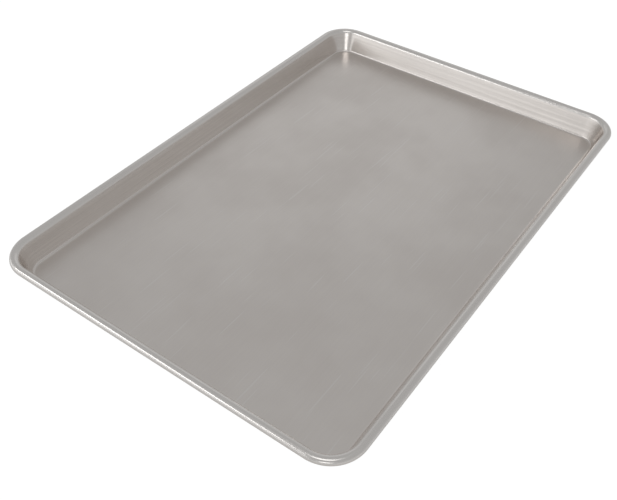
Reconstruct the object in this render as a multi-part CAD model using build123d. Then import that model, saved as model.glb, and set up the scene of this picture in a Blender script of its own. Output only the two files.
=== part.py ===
"""A jelly roll pan: one drawn aluminium sheet whose rim is rolled round a stiffening wire.

Lengths are in millimetres and +Z is up. The origin is the centre of the flat base, X runs
along the pan's length and Y across its width.
"""
from build123d import *

import math
import os

# Outside of the pan, over the rolled rim
pan_length = 406.4
pan_width = 279.4
pan_height = 19.0
rim_corner_radius = 25.0
# The sheet
sheet_thickness = 0.9
wall_draft_deg = 20.0
floor_bend_radius = 2.2
# The rolled rim and its wire
wire_diameter = 3.2
wire_clearance = 0.1
shoulder_radius = 2.7
seam_gap = 0.3
curl_turn_deg = 280.0
wire_end_gap = 2.0
cut_overrun = 1.0

# Axes of the four corners, which the floor bend, the wall and the rim share
corner_x = pan_length / 2 - rim_corner_radius
corner_y = pan_width / 2 - rim_corner_radius
# Centre of the wire in the section, whose x is measured outwards from a corner's axis
draft = math.radians(wall_draft_deg)
curl_inside = wire_diameter / 2 + wire_clearance
curl_outside = curl_inside + sheet_thickness
wire_x = rim_corner_radius - curl_outside
wire_z = pan_height - curl_outside
# The curl's free side stands one seam gap off the outside of the wall
curl_to_wall = curl_outside + seam_gap + sheet_thickness
wall_face = wire_x * math.cos(draft) - wire_z * math.sin(draft) - curl_to_wall


def beside_wall(offset, height):
    """Give the x of the point at this height that lies the offset out from the wall's inner face."""
    return (wall_face + offset + height * math.sin(draft)) / math.cos(draft)


# Centres of the two bends at the foot and the head of the wall
shoulder_z = pan_height - sheet_thickness - shoulder_radius
shoulder_x = beside_wall(sheet_thickness + shoulder_radius, shoulder_z)
bend_z = sheet_thickness + floor_bend_radius
bend_x = beside_wall(-floor_bend_radius, bend_z)


def section_side(bend, shoulder, curl):
    """Draw one face of the sheet in section, from the floor bend up to the end of the curl."""
    quarter = 90
    floor_bend = CenterArc((bend_x, bend_z), bend, -quarter, quarter - wall_draft_deg)
    shoulder_bend = CenterArc(
        (shoulder_x, shoulder_z), shoulder, 2 * quarter - wall_draft_deg, wall_draft_deg - quarter
    )
    rolled_edge = CenterArc((wire_x, wire_z), curl, quarter, -curl_turn_deg)
    wall = Line(floor_bend @ 1, shoulder_bend @ 0)
    ledge = Line(shoulder_bend @ 1, rolled_edge @ 0)
    return [floor_bend, wall, shoulder_bend, ledge, rolled_edge]


def sheet_section():
    """Close the two faces of the sheet into its section, in the plane of X and Z."""
    upper = section_side(floor_bend_radius, shoulder_radius + sheet_thickness, curl_outside)
    under = section_side(floor_bend_radius + sheet_thickness, shoulder_radius, curl_inside)
    foot = Line(upper[0] @ 0, under[0] @ 0)
    edge = Line(upper[-1] @ 1, under[-1] @ 1)
    return Plane.XZ * make_face(upper + under + [foot, edge])


def carried_round(section):
    """Carry a section round the pan: a quarter turn at each corner and the straight side before it."""
    corners = [
        (corner_x, corner_y, corner_y),
        (-corner_x, corner_y, corner_x),
        (-corner_x, -corner_y, corner_y),
        (corner_x, -corner_y, corner_x),
    ]
    pieces = []
    for number, (x, y, half_side) in enumerate(corners):
        corner = Pos(x, y) * Rot(0, 0, 90 * number)
        pieces.append(corner * revolve(section, Axis.Z, 90))
        pieces.append(corner * extrude(section, 2 * half_side, dir=(0, -1, 0)))
    return Part() + pieces


# The flat floor, which ends where the bend of the wall begins
floor_length = 2 * (corner_x + bend_x)
floor_width = 2 * (corner_y + bend_x)
floor_plate = extrude(RectangleRounded(floor_length, floor_width, bend_x), sheet_thickness)

pan_shell = carried_round(sheet_section()) + floor_plate
pan_shell.label = "pan_shell"

# The wire runs once round inside the curl; its two ends meet at the middle of a long side
wire_ring = carried_round(Plane.XZ * Pos(wire_x, wire_z) * Circle(wire_diameter / 2))
cut_side = wire_diameter + cut_overrun
wire_cut = Pos(0, -(corner_y + wire_x), wire_z) * Box(wire_end_gap, cut_side, cut_side)
rim_wire = wire_ring - wire_cut
rim_wire.label = "rim_wire"

os.makedirs("parts", exist_ok=True)
export_step(pan_shell, "parts/pan_shell.step")
export_step(rim_wire, "parts/rim_wire.step")
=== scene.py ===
"""A jelly roll pan of drawn aluminium sheet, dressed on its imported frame.

All lengths are in metres. The frame's origin is the centre of the flat base, X runs along
the pan's length, Y across its width and Z up out of its open side.
"""
import logging
import math
from dataclasses import dataclass, field
from enum import Enum

import bmesh
import bpy
from mathutils import Matrix, Vector


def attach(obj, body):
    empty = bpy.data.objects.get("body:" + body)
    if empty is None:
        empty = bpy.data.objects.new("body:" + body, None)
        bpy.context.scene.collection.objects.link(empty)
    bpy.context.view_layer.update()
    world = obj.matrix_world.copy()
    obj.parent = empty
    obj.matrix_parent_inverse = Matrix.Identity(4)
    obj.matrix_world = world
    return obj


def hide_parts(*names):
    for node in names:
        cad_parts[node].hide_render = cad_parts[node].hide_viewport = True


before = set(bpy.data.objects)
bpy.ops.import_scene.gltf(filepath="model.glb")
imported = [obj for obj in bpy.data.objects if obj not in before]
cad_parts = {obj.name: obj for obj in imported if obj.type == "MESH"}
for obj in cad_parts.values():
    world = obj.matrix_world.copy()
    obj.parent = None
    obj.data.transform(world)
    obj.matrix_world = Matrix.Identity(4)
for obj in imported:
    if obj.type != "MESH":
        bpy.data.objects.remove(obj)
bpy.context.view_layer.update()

log = logging.getLogger("jelly_roll_pan")

QUARTER = math.radians(90)
UP = Vector((0.0, 0.0, 1.0))
PHOTO_WIDTH_PX = 617
WHITE = (1.0, 1.0, 1.0)
Colour = tuple[float, float, float]
Socket = bpy.types.NodeSocket


class GrainRun(Enum):
    """Which way the sheet's fine lines run, as a scale along X, Y and Z."""

    ALONG_LENGTH = (0.035, 1.0, 1.0)
    ROUND_THE_WALL = (0.006, 0.006, 1.0)


class Effect(Enum):
    """The shared surface effects, by the names of their node groups."""

    STREAKS = "sheet_streaks"
    CLOUDS = "soft_clouds"
    HAIRLINES = "hairline_scratches"
    HEIGHT_BAND = "height_band"


class NodeBoard:
    """Adds and wires nodes in one node tree."""

    def __init__(self, tree: bpy.types.NodeTree) -> None:
        """Take a tree and empty it.

        Args:
            tree: the material's, world's or group's own tree.
        """
        self.tree = tree
        tree.nodes.clear()

    def add(self, kind: str, **settings: object) -> bpy.types.Node:
        """Add one node and place it beside the last.

        Args:
            kind: the node's type name, without its "ShaderNode" where it has one.
            settings: properties of the node, by name.

        Returns:
            The new node.
        """
        name = kind if kind.startswith("Node") else f"ShaderNode{kind}"
        node = self.tree.nodes.new(name)
        node.location.x = 200.0 * len(self.tree.nodes)
        for key, value in settings.items():
            setattr(node, key, value)
        return node

    def wire(self, source: Socket, target: Socket) -> None:
        """Join an output to an input."""
        self.tree.links.new(source, target)

    def math(self, operation: str, first: float | Socket, second: float | Socket) -> Socket:
        """Add a Math node whose two inputs are numbers or sockets.

        Args:
            operation: what the node does.
            first: its first input.
            second: its second input.

        Returns:
            The node's output.
        """
        node = self.add("Math", operation=operation)
        for socket, value in zip(node.inputs, (first, second)):
            if isinstance(value, Socket):
                self.wire(value, socket)
            else:
                socket.default_value = value
        return node.outputs[0]

    def remap(
        self, value: Socket, low: float, high: float, to_low: float, to_high: float
    ) -> Socket:
        """Carry a value from one range to another, smoothly and clamped.

        Args:
            value: the socket read.
            low: the value that becomes to_low.
            high: the value that becomes to_high.
            to_low: the result at and below low.
            to_high: the result at and above high.

        Returns:
            The remapped value's socket.
        """
        node = self.add("MapRange", interpolation_type="SMOOTHSTEP")
        self.wire(value, node.inputs["Value"])
        limits = {"From Min": low, "From Max": high, "To Min": to_low, "To Max": to_high}
        for name, number in limits.items():
            node.inputs[name].default_value = number
        return node.outputs["Result"]

    def blend(self, factor: Socket, first: Colour | Socket, second: Colour | Socket) -> Socket:
        """Mix two colours by a factor.

        Args:
            factor: 0 gives the first colour and 1 the second.
            first: a colour or a socket.
            second: a colour or a socket.

        Returns:
            The mixed colour's socket.
        """
        node = self.add("Mix", data_type="RGBA")
        self.wire(factor, node.inputs["Factor"])
        for name, value in (("A", first), ("B", second)):
            socket = next(s for s in node.inputs if s.name == name and s.type == "RGBA")
            if isinstance(value, Socket):
                self.wire(value, socket)
            else:
                socket.default_value = (*value, 1.0)
        return next(s for s in node.outputs if s.type == "RGBA")

    def shade_metal(
        self, colour: Socket, rough: Socket, relief: Socket, strength: float, depth: float
    ) -> None:
        """Add a metal's shader and the material's output.

        Args:
            colour: the metal's colour.
            rough: its roughness.
            relief: the height of its fine relief, as a share of the depth.
            strength: how strongly the relief shows.
            depth: the relief's full depth.
        """
        shader = self.add("BsdfPrincipled")
        shader.inputs["Metallic"].default_value = 1.0
        bump = self.add("Bump")
        bump.inputs["Strength"].default_value = strength
        bump.inputs["Distance"].default_value = depth
        self.wire(relief, bump.inputs["Height"])
        self.wire(colour, shader.inputs["Base Color"])
        self.wire(rough, shader.inputs["Roughness"])
        self.wire(bump.outputs["Normal"], shader.inputs["Normal"])
        self.wire(shader.outputs["BSDF"], self.add("OutputMaterial").inputs["Surface"])


def open_material(name: str) -> tuple[bpy.types.Material, NodeBoard]:
    """Make a material with an empty board.

    Args:
        name: the material's name.

    Returns:
        The material and its board.
    """
    material = bpy.data.materials.new(name)
    material.use_nodes = True
    return material, NodeBoard(material.node_tree)


def stand(name: str, mesh: bmesh.types.BMesh, material: bpy.types.Material) -> bpy.types.Object:
    """Turn a finished mesh into an object at the origin.

    Args:
        name: the object's name.
        mesh: the mesh, which is used up.
        material: the object's material.

    Returns:
        The object, in the scene.
    """
    data = bpy.data.meshes.new(name)
    mesh.to_mesh(data)
    mesh.free()
    data.materials.append(material)
    item = bpy.data.objects.new(name, data)
    bpy.context.scene.collection.objects.link(item)
    return item


class EffectShelf:
    """Builds each shared effect once, as a node group, and hands it to the materials."""

    noise_roughness: float = 0.6
    streak_detail: float = 2.0
    cloud_detail: float = 3.0
    cloud_range: tuple[float, float] = (0.32, 0.68)
    scratch_detail: float = 1.0
    scratch_turns: tuple[float, float] = (math.radians(24), math.radians(-57))
    scratch_stretch: tuple[float, float, float] = (0.03, 1.0, 0.5)
    scratch_rarity: float = 0.9
    scratch_softness: float = 0.05

    def __init__(self) -> None:
        """Start with no group built."""
        self.makers = {
            Effect.STREAKS: self._streaks,
            Effect.CLOUDS: self._clouds,
            Effect.HAIRLINES: self._hairlines,
            Effect.HEIGHT_BAND: self._height_band,
        }

    def place(self, board: NodeBoard, effect: Effect, vector: Socket, **values: float) -> Socket:
        """Put an effect into a material.

        Args:
            board: the material's board.
            effect: which effect.
            vector: the coordinates that it reads.
            values: the group's own inputs, by name.

        Returns:
            The effect's mask, from 0 to 1.
        """
        group = bpy.data.node_groups.get(effect.value) or self.makers[effect]()
        node = board.add("Group", node_tree=group)
        board.wire(vector, node.inputs["Vector"])
        for name, value in values.items():
            node.inputs[name].default_value = value
        return node.outputs["Mask"]

    def _start(
        self, effect: Effect, inputs: dict[str, float]
    ) -> tuple[NodeBoard, bpy.types.Node, bpy.types.Node]:
        """Make an empty group with a Vector input, named number inputs and a Mask output.

        Args:
            effect: the effect whose name the group takes.
            inputs: the number inputs and their defaults.

        Returns:
            The group's board, its input node and its output node.
        """
        tree = bpy.data.node_groups.new(effect.value, "ShaderNodeTree")
        tree.interface.new_socket("Vector", in_out="INPUT", socket_type="NodeSocketVector")
        for name, value in inputs.items():
            socket = tree.interface.new_socket(
                name, in_out="INPUT", socket_type="NodeSocketFloat"
            )
            socket.default_value = value
        tree.interface.new_socket("Mask", in_out="OUTPUT", socket_type="NodeSocketFloat")
        board = NodeBoard(tree)
        return board, board.add("NodeGroupInput"), board.add("NodeGroupOutput")

    def _noise(self, board: NodeBoard, vector: Socket, scale: Socket, detail: float) -> Socket:
        """Add a noise pattern.

        Args:
            board: the group's board.
            vector: the coordinates that it reads.
            scale: the pattern's scale, per metre.
            detail: how many octaves it has.

        Returns:
            The pattern's value.
        """
        node = board.add("TexNoise")
        board.wire(vector, node.inputs["Vector"])
        board.wire(scale, node.inputs["Scale"])
        node.inputs["Detail"].default_value = detail
        node.inputs["Roughness"].default_value = self.noise_roughness
        return node.outputs[0]

    def _streaks(self) -> bpy.types.NodeTree:
        """Build streaks that run along the sheet, as rolls and dies leave them.

        Returns:
            The group's tree.
        """
        defaults = {"Scale": 900.0, "Contrast": 0.25}
        board, given, result = self._start(Effect.STREAKS, defaults)
        vector, scale, contrast = given.outputs[:3]
        value = self._noise(board, vector, scale, self.streak_detail)
        centred = board.math("SUBTRACT", value, 0.5)
        steep = board.math("MULTIPLY", centred, board.math("DIVIDE", 1.0, contrast))
        board.wire(board.remap(steep, -1.0, 1.0, 0.0, 1.0), result.inputs["Mask"])
        return board.tree

    def _clouds(self) -> bpy.types.NodeTree:
        """Build the soft clouds that wiping and handling leave on bare metal.

        Returns:
            The group's tree.
        """
        board, given, result = self._start(Effect.CLOUDS, {"Scale": 14.0})
        vector, scale = given.outputs[:2]
        value = self._noise(board, vector, scale, self.cloud_detail)
        board.wire(board.remap(value, *self.cloud_range, 0.0, 1.0), result.inputs["Mask"])
        return board.tree

    def _hairlines(self) -> bpy.types.NodeTree:
        """Build short hairline scratches that lie two ways across each other.

        Returns:
            The group's tree.
        """
        defaults = {"Scale": 420.0, "Density": 0.3}
        board, given, result = self._start(Effect.HAIRLINES, defaults)
        vector, scale, density = given.outputs[:3]
        lines = []
        for turn in self.scratch_turns:
            lay = board.add("Mapping")
            lay.inputs["Rotation"].default_value = (0.0, 0.0, turn)
            lay.inputs["Scale"].default_value = self.scratch_stretch
            board.wire(vector, lay.inputs["Vector"])
            value = self._noise(board, lay.outputs["Vector"], scale, self.scratch_detail)
            share = board.math("MULTIPLY", density, self.scratch_rarity)
            over = board.math("SUBTRACT", value, board.math("SUBTRACT", 1.0, share))
            lines.append(board.remap(over, 0.0, self.scratch_softness, 0.0, 1.0))
        board.wire(board.math("MAXIMUM", *lines), result.inputs["Mask"])
        return board.tree

    def _height_band(self) -> bpy.types.NodeTree:
        """Build a mask that is 1 between two heights and fades out towards each.

        Returns:
            The group's tree.
        """
        defaults = {"Low": 0.0, "High": 0.01, "Fade": 0.001}
        board, given, result = self._start(Effect.HEIGHT_BAND, defaults)
        vector, low, high, fade = given.outputs[:4]
        split = board.add("SeparateXYZ")
        board.wire(vector, split.inputs[0])
        height = split.outputs["Z"]
        over = board.math("DIVIDE", board.math("SUBTRACT", height, low), fade)
        below = board.math("DIVIDE", board.math("SUBTRACT", high, height), fade)
        inside = board.math("MINIMUM", over, below)
        board.wire(board.remap(inside, 0.0, 1.0, 0.0, 1.0), result.inputs["Mask"])
        return board.tree


@dataclass(frozen=True)
class DrawnAluminium:
    """Natural aluminium sheet, rolled at the mill and drawn into a pan."""

    name: str = "drawn_aluminium"
    bright: Colour = (0.776, 0.738, 0.706)
    dull: Colour = (0.706, 0.665, 0.633)
    polished: Colour = (0.835, 0.822, 0.806)
    roughness: float = 0.35
    smudged_roughness: float = 0.39
    wall_roughness: float = 0.22
    rim_roughness: float = 0.25
    line_gloss: float = 0.03
    wall_low: float = 0.0010
    wall_high: float = 0.0172
    rim_low: float = 0.0165
    rim_high: float = 0.03
    band_fade: float = 0.0008
    grain_scale: float = 900.0
    grain_contrast: float = 0.3
    die_line_scale: float = 750.0
    die_line_contrast: float = 0.22
    cloud_scale: float = 11.0
    scratch_scale: float = 520.0
    scratch_density: float = 0.33
    floor_line_share: float = 0.22
    wall_line_share: float = 1.0
    scratch_share: float = 0.35
    rim_share: float = 0.5
    scratch_depth: float = 0.5
    bump_strength: float = 0.35
    bump_height: float = 0.00002

    def build(self, shelf: EffectShelf) -> bpy.types.Material:
        """Make the material.

        Args:
            shelf: the shared effects.

        Returns:
            The finished material.
        """
        material, board = open_material(self.name)
        place = board.add("TexCoord").outputs["Object"]
        clouds = shelf.place(board, Effect.CLOUDS, place, Scale=self.cloud_scale)
        scratches = shelf.place(
            board, Effect.HAIRLINES, place, Scale=self.scratch_scale, Density=self.scratch_density
        )
        wall, rim = (
            shelf.place(board, Effect.HEIGHT_BAND, place, Low=low, High=high, Fade=self.band_fade)
            for low, high in ((self.wall_low, self.wall_high), (self.rim_low, self.rim_high))
        )
        lines = self._lines(board, shelf, place, wall)
        line_share = board.remap(wall, 0.0, 1.0, self.floor_line_share, self.wall_line_share)
        cloud_share = board.math("SUBTRACT", 1.0, line_share)
        tone = board.math(
            "ADD",
            board.math("MULTIPLY", lines, line_share),
            board.math("MULTIPLY", clouds, cloud_share),
        )
        colour = board.blend(tone, self.dull, self.bright)
        for zone, share in ((scratches, self.scratch_share), (rim, self.rim_share)):
            colour = board.blend(board.math("MULTIPLY", zone, share), colour, self.polished)
        rough = board.remap(clouds, 0.0, 1.0, self.smudged_roughness, self.roughness)
        wall_drop = self.roughness - self.wall_roughness
        rim_drop = self.roughness - self.rim_roughness
        for zone, drop in ((lines, self.line_gloss), (wall, wall_drop), (rim, rim_drop)):
            rough = board.math("SUBTRACT", rough, board.math("MULTIPLY", zone, drop))
        scored = board.math("MULTIPLY", scratches, self.scratch_depth)
        relief = board.math("SUBTRACT", lines, scored)
        board.shade_metal(colour, rough, relief, self.bump_strength, self.bump_height)
        return material

    def _lines(
        self, board: NodeBoard, shelf: EffectShelf, place: Socket, wall: Socket
    ) -> Socket:
        """Lay the mill's grain on the floor and the lines of the die on the walls.

        Args:
            board: the material's board.
            shelf: the shared effects.
            place: the object's coordinates.
            wall: 1 on the walls and 0 on the floor.

        Returns:
            The lines' mask.
        """
        mixer = board.add("Mix", data_type="FLOAT")
        board.wire(wall, mixer.inputs[0])
        for socket, run, scale, contrast in (
            (2, GrainRun.ALONG_LENGTH, self.grain_scale, self.grain_contrast),
            (3, GrainRun.ROUND_THE_WALL, self.die_line_scale, self.die_line_contrast),
        ):
            lay = board.add("Mapping")
            lay.inputs["Scale"].default_value = run.value
            board.wire(place, lay.inputs["Vector"])
            streaks = shelf.place(
                board, Effect.STREAKS, lay.outputs["Vector"], Scale=scale, Contrast=contrast
            )
            board.wire(streaks, mixer.inputs[socket])
        return mixer.outputs[0]


@dataclass(frozen=True)
class GalvanisedWire:
    """Drawn steel wire with a dull zinc coat, as it lies in the rolled rim."""

    name: str = "galvanised_wire"
    zinc: Colour = (0.47, 0.48, 0.49)
    dull_zinc: Colour = (0.33, 0.34, 0.35)
    roughness: float = 0.36
    dull_roughness: float = 0.52
    spangle_scale: float = 260.0
    drawn_scale: float = 1500.0
    drawn_contrast: float = 0.3
    bump_strength: float = 0.3
    bump_height: float = 0.00003

    def build(self, shelf: EffectShelf) -> bpy.types.Material:
        """Make the material.

        Args:
            shelf: the shared effects.

        Returns:
            The finished material.
        """
        material, board = open_material(self.name)
        place = board.add("TexCoord").outputs["Object"]
        spangle = shelf.place(board, Effect.CLOUDS, place, Scale=self.spangle_scale)
        drawn = shelf.place(
            board, Effect.STREAKS, place, Scale=self.drawn_scale, Contrast=self.drawn_contrast
        )
        tone = board.math("MULTIPLY", board.math("ADD", spangle, drawn), 0.5)
        rough = board.remap(tone, 0.0, 1.0, self.dull_roughness, self.roughness)
        colour = board.blend(tone, self.dull_zinc, self.zinc)
        board.shade_metal(colour, rough, tone, self.bump_strength, self.bump_height)
        return material


class SectionPen:
    """Draws the sheet's upper face in section, as one chain of edges in a plane of X and Z."""

    def __init__(
        self, mesh: bmesh.types.BMesh, place: Vector, start: tuple[float, float]
    ) -> None:
        """Set the pen down.

        Args:
            mesh: the mesh that takes the chain.
            place: the section's own origin, on the corner's axis.
            start: the first point's x and z from there.
        """
        self.mesh = mesh
        self.place = place
        self.tip = bmesh.ops.create_vert(mesh, co=self._at(start))["vert"][0]

    def _at(self, point: tuple[float, float]) -> Vector:
        """Give the place of a point of the section."""
        return self.place + Vector((point[0], 0.0, point[1]))

    def _sweep(self, centre: Vector, angle: float, step: Vector, steps: int) -> None:
        """Carry the tip on by steps that turn, move or both.

        Args:
            centre: what it turns about.
            angle: the whole turn, anticlockwise with X to the right and Z up.
            step: how far each step moves it.
            steps: how many steps.
        """
        swept = bmesh.ops.spin(
            self.mesh, geom=[self.tip], cent=centre, axis=(0.0, -1.0, 0.0), dvec=step,
            angle=angle, steps=steps, use_merge=False, use_duplicate=False,
        )
        self.tip = next(v for v in swept["geom_last"] if isinstance(v, bmesh.types.BMVert))

    def run_to(self, point: tuple[float, float], steps: int) -> None:
        """Draw a straight run to a point, in equal steps."""
        self._sweep(self.place, 0.0, (self._at(point) - self.tip.co) / steps, steps)

    def turn(self, centre: tuple[float, float], angle: float, steps: int) -> None:
        """Draw an arc about a centre, in equal steps."""
        self._sweep(self._at(centre), angle, Vector(), steps)


@dataclass
class PanSheet:
    """The pan's one sheet: flat floor, sloping walls, ledge and rolled rim."""

    name: str = "pan_sheet"
    length: float = 0.4064
    width: float = 0.2794
    height: float = 0.019
    corner_radius: float = 0.025
    thickness: float = 0.0009
    draft: float = math.radians(20)
    bend_radius: float = 0.0022
    shoulder_radius: float = 0.0027
    wire_radius: float = 0.0016
    wire_clearance: float = 0.0001
    seam_gap: float = 0.0003
    curl_turn: float = math.radians(280)
    arc_step: float = math.radians(7)
    crease_angle: float = math.radians(40)
    merge_share: float = 0.01
    corner_steps: int = 24
    length_steps: int = 48
    width_steps: int = 32
    wall_steps: int = 6
    finish: DrawnAluminium = field(default_factory=DrawnAluminium)

    @property
    def corner(self) -> Vector:
        """The axis of the corner at +X and +Y."""
        return Vector((
            self.length / 2 - self.corner_radius, self.width / 2 - self.corner_radius, 0.0
        ))

    def build(self, shelf: EffectShelf) -> bpy.types.Object:
        """Build the sheet and stand it for its node.

        Args:
            shelf: the shared effects.

        Returns:
            The finished piece.
        """
        mesh = bmesh.new()
        self._carry_round(mesh)
        self._lay_floor(mesh)
        bmesh.ops.remove_doubles(
            mesh, verts=mesh.verts[:], dist=self.thickness * self.merge_share
        )
        bmesh.ops.recalc_face_normals(mesh, faces=mesh.faces[:])
        self._face_up(mesh)
        bmesh.ops.solidify(mesh, geom=mesh.faces[:], thickness=self.thickness)
        self._shade(mesh)
        piece = stand(self.name, mesh, self.finish.build(shelf))
        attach(piece, "root")
        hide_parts("pan_shell")
        return piece

    def _draw_section(self, mesh: bmesh.types.BMesh, place: Vector) -> list[bmesh.types.BMEdge]:
        """Draw the sheet's upper face, from a corner's axis out to the end of the curl.

        Args:
            mesh: the mesh that takes it.
            place: where the section's origin stands.

        Returns:
            The chain's edges.
        """
        curl = self.wire_radius + self.wire_clearance + self.thickness
        wire = (self.corner_radius - curl, self.height - curl)
        sine, cosine = math.sin(self.draft), math.cos(self.draft)
        # How far the wall's upper face lies from the origin, square to the wall
        face = wire[0] * cosine - wire[1] * sine - (curl + self.seam_gap + self.thickness)
        shoulder_bend = self.shoulder_radius + self.thickness
        shoulder_z = self.height - shoulder_bend
        shoulder = ((face + shoulder_bend + shoulder_z * sine) / cosine, shoulder_z)
        bend_z = self.thickness + self.bend_radius
        bend = ((face - self.bend_radius + bend_z * sine) / cosine, bend_z)
        wall_top = (shoulder[0] - shoulder_bend * cosine, shoulder[1] + shoulder_bend * sine)
        slope = QUARTER - self.draft
        pen = SectionPen(mesh, place, (0.0, self.thickness))
        pen.run_to((bend[0], self.thickness), self.wall_steps)
        pen.turn(bend, slope, self._steps(slope))
        pen.run_to(wall_top, self.wall_steps)
        pen.turn(shoulder, -slope, self._steps(slope))
        pen.run_to((wire[0], self.height), 1)
        pen.turn(wire, -self.curl_turn, self._steps(self.curl_turn))
        return mesh.edges[:]

    def _steps(self, angle: float) -> int:
        """Give the number of steps that an arc takes."""
        return round(angle / self.arc_step)

    def _carry_round(self, mesh: bmesh.types.BMesh) -> None:
        """Carry the section along each side and round each corner.

        Args:
            mesh: the mesh that takes the walls and the rim.
        """
        x, y = self.corner.xy
        ring = self._draw_section(mesh, Vector((x, -y, 0.0)))
        sides = [
            (Vector((x, y, 0.0)), Vector((0.0, 2 * y, 0.0)), self.width_steps),
            (Vector((-x, y, 0.0)), Vector((-2 * x, 0.0, 0.0)), self.length_steps),
            (Vector((-x, -y, 0.0)), Vector((0.0, -2 * y, 0.0)), self.width_steps),
            (Vector((x, -y, 0.0)), Vector((2 * x, 0.0, 0.0)), self.length_steps),
        ]
        for axis, side, steps in sides:
            moves = ((side / steps, 0.0, steps), (Vector(), QUARTER, self.corner_steps))
            for step, angle, count in moves:
                ring = bmesh.ops.spin(
                    mesh, geom=ring, cent=axis, axis=UP, dvec=step, angle=angle, steps=count,
                    use_merge=False, use_duplicate=False,
                )["geom_last"]

    def _lay_floor(self, mesh: bmesh.types.BMesh) -> None:
        """Lay the middle of the floor between the corners' axes.

        Args:
            mesh: the mesh that takes the floor.
        """
        x, y = self.corner.xy
        size = Matrix.Diagonal((x, y, 1.0, 1.0))
        bmesh.ops.create_grid(
            mesh, x_segments=self.length_steps, y_segments=self.width_steps, size=1.0,
            matrix=Matrix.Translation((0.0, 0.0, self.thickness)) @ size,
        )

    def _face_up(self, mesh: bmesh.types.BMesh) -> None:
        """Turn the sheet over if its floor faces down.

        Args:
            mesh: the sheet's upper face.
        """
        middle = min(mesh.faces, key=lambda f: f.calc_center_median().xy.length)
        if middle.normal.z < 0.0:
            bmesh.ops.reverse_faces(mesh, faces=mesh.faces[:])

    def _shade(self, mesh: bmesh.types.BMesh) -> None:
        """Shade the sheet smooth, but for its cut edge.

        Args:
            mesh: the finished mesh.
        """
        for face in mesh.faces:
            face.smooth = True
        for edge in mesh.edges:
            if len(edge.link_faces) == 2 and edge.calc_face_angle() > self.crease_angle:
                edge.smooth = False


@dataclass
class RimWire:
    """The stiffening wire, which keeps its node's own shape."""

    node: str = "rim_wire"
    finish: GalvanisedWire = field(default_factory=GalvanisedWire)

    def dress(self, shelf: EffectShelf) -> bpy.types.Object:
        """Give the wire its finish.

        Args:
            shelf: the shared effects.

        Returns:
            The wire's object.
        """
        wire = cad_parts[self.node]
        wire.data.materials.clear()
        wire.data.materials.append(self.finish.build(shelf))
        return wire


@dataclass(frozen=True)
class Softbox:
    """A studio lamp with a large soft face, aimed at the pan."""

    name: str
    azimuth_deg: float
    elevation_deg: float
    distance: float
    size: tuple[float, float]
    radiance: float

    def hang(self) -> None:
        """Hang the lamp where the camera can't see it."""
        lamp = bpy.data.lights.new(self.name, "AREA")
        lamp.shape = "RECTANGLE"
        lamp.size, lamp.size_y = self.size
        lamp.energy = self.radiance * math.pi * self.size[0] * self.size[1]
        azimuth, elevation = math.radians(self.azimuth_deg), math.radians(self.elevation_deg)
        way = Vector((
            math.cos(elevation) * math.cos(azimuth),
            math.cos(elevation) * math.sin(azimuth),
            math.sin(elevation),
        ))
        body = bpy.data.objects.new(self.name, lamp)
        body.location = way * self.distance
        body.rotation_euler = way.to_track_quat("Z", "Y").to_euler()
        body.visible_camera = False
        bpy.context.scene.collection.objects.link(body)


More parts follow.
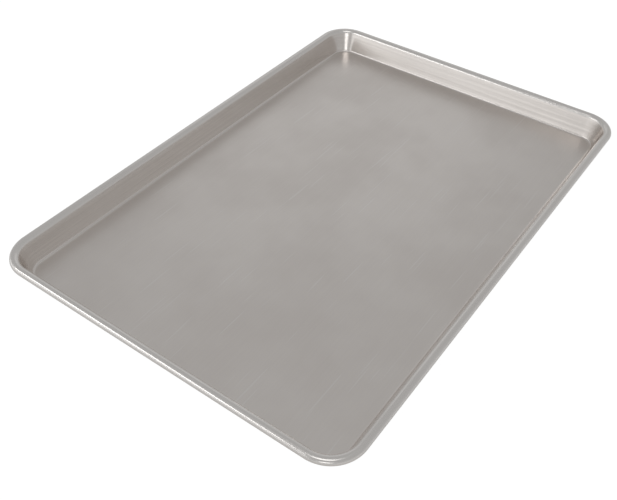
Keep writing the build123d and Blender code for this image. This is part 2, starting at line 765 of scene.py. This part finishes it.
@dataclass
class Studio:
    """The plain pale floor, the soft light and the camera."""

    floor_reach: float = 3.0
    floor_colour: Colour = (0.86, 0.86, 0.86)
    floor_drop: float = 0.0004
    seen_glow: float = 0.86
    mirrored_glow: float = 0.15
    glow_strength: float = 1.12
    horizon: Colour = (0.52, 0.52, 0.52)
    zenith: Colour = (0.46, 0.46, 0.46)
    zenith_rise: float = 0.9
    lamps: tuple[Softbox, ...] = (
        Softbox("left_softbox", 138.0, 14.0, 1.7, (2.4, 0.5), 0.56),
        Softbox("front_softbox", 208.0, 16.0, 1.8, (0.6, 0.45), 1.4),
        Softbox("back_softbox", 36.0, 32.0, 2.0, (1.2, 0.6), 0.16),
        Softbox("top_softbox", 200.0, 74.0, 1.5, (0.6, 0.6), 1.4),
        Softbox("rim_softbox", 138.0, 38.0, 1.6, (1.2, 0.3), 2.2),
    )

    def build(self) -> None:
        """Lay the floor, light it and set the camera."""
        self._floor()
        self._sky()
        for lamp in self.lamps:
            lamp.hang()
        StudioCamera().place()
        bpy.context.scene.view_settings.view_transform = "Standard"

    def _floor(self) -> None:
        """Lay a pale floor that shows white to the camera but keeps the pan's shadow."""
        mesh = bmesh.new()
        bmesh.ops.create_grid(
            mesh, x_segments=1, y_segments=1, size=self.floor_reach,
            matrix=Matrix.Translation((0.0, 0.0, -self.floor_drop)),
        )
        stand("studio_floor", mesh, self._paper())

    def _paper(self) -> bpy.types.Material:
        """Make the floor's paper, which glows to the camera and, much less, to mirroring rays.

        Returns:
            The finished material.
        """
        material, board = open_material("studio_paper")
        paper = board.add("BsdfDiffuse")
        paper.inputs["Color"].default_value = (*self.floor_colour, 1.0)
        glow = board.add("Emission")
        glow.inputs["Strength"].default_value = self.glow_strength
        path = board.add("LightPath").outputs
        mirrored = board.math("MAXIMUM", path["Is Glossy Ray"], path["Is Transmission Ray"])
        share = board.math(
            "MAXIMUM",
            board.math("MULTIPLY", path["Is Camera Ray"], self.seen_glow),
            board.math("MULTIPLY", mirrored, self.mirrored_glow),
        )
        mixed = board.add("MixShader")
        board.wire(share, mixed.inputs[0])
        board.wire(paper.outputs[0], mixed.inputs[1])
        board.wire(glow.outputs[0], mixed.inputs[2])
        board.wire(mixed.outputs[0], board.add("OutputMaterial").inputs["Surface"])
        return material

    def _sky(self) -> None:
        """Make a plain room that is white to the camera, pale low down and grey overhead."""
        world = bpy.data.worlds.new("studio_room")
        bpy.context.scene.world = world
        world.use_nodes = True
        board = NodeBoard(world.node_tree)
        split = board.add("SeparateXYZ")
        board.wire(board.add("TexCoord").outputs["Generated"], split.inputs[0])
        rise = board.remap(split.outputs["Z"], 0.0, self.zenith_rise, 0.0, 1.0)
        room = board.blend(rise, self.horizon, self.zenith)
        seen = board.add("LightPath").outputs["Is Camera Ray"]
        glow = board.add("Background")
        board.wire(board.blend(seen, room, WHITE), glow.inputs["Color"])
        board.wire(glow.outputs[0], board.add("OutputWorld").inputs["Surface"])


@dataclass
class StudioCamera:
    """The camera, at the photograph's viewing angle."""

    place_at: Vector = field(default_factory=lambda: Vector((-0.39587, -0.25061, 0.38895)))
    aim: Vector = field(default_factory=lambda: Vector((-0.07332, -0.0244, 0.019)))
    roll: float = math.radians(1.2181)
    focal_px: float = 804.3
    sensor: float = 36.0
    near_limit: float = 0.01

    def place(self) -> None:
        """Set the camera up and make it the scene's own."""
        lens = bpy.data.cameras.new("studio_camera")
        lens.sensor_fit = "HORIZONTAL"
        lens.sensor_width = self.sensor
        lens.lens = self.focal_px / PHOTO_WIDTH_PX * self.sensor
        lens.clip_start = self.near_limit
        camera = bpy.data.objects.new("studio_camera", lens)
        look = (self.aim - self.place_at).to_track_quat("-Z", "Y").to_matrix()
        tilt = Matrix.Rotation(self.roll, 3, "Z")
        camera.matrix_world = Matrix.Translation(self.place_at) @ (look @ tilt).to_4x4()
        bpy.context.scene.collection.objects.link(camera)
        bpy.context.scene.camera = camera


def main() -> None:
    """Build the pan, then the studio round it."""
    logging.basicConfig(level=logging.INFO, format="%(name)s: %(message)s")
    shelf = EffectShelf()
    sheet = PanSheet().build(shelf)
    log.info("%s built, %d faces", sheet.name, len(sheet.data.polygons))
    wire = RimWire().dress(shelf)
    log.info("%s dressed", wire.name)
    Studio().build()
    log.info("studio set")


if __name__ == "__main__":
    main()
